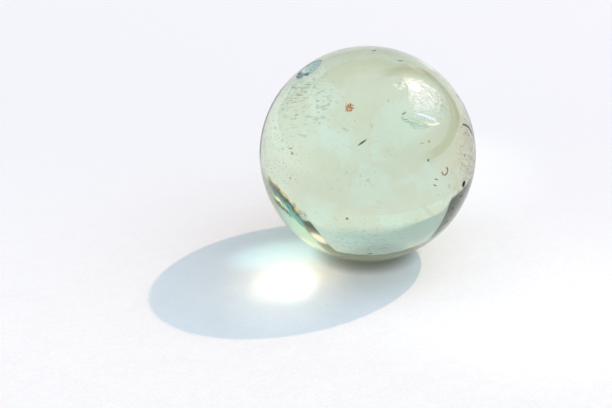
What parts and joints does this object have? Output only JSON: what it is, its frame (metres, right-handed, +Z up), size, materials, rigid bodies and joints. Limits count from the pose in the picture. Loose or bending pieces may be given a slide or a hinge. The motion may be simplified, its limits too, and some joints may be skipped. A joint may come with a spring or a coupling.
{
  "type": "glass marble",
  "caption": "Round playing marble of clear pale-green glass, worn by play: a shell-shaped chip, a flaked moon bruise, a curved crack and small nicks.",
  "frame": {"origin": "the ball's centre", "axes": "+Z up as the ball lies; -Y towards the viewer of the side that has the front nick and the rust pit; +X to that viewer's right"},
  "size_m": [0.016, 0.016, 0.016],
  "materials": {
    "glass": "smooth and clear, faintly green, dulled by fine scuffs"
  },
  "bodies": {
    "root": {"marble": "glass"}
  },
  "joints": []
}
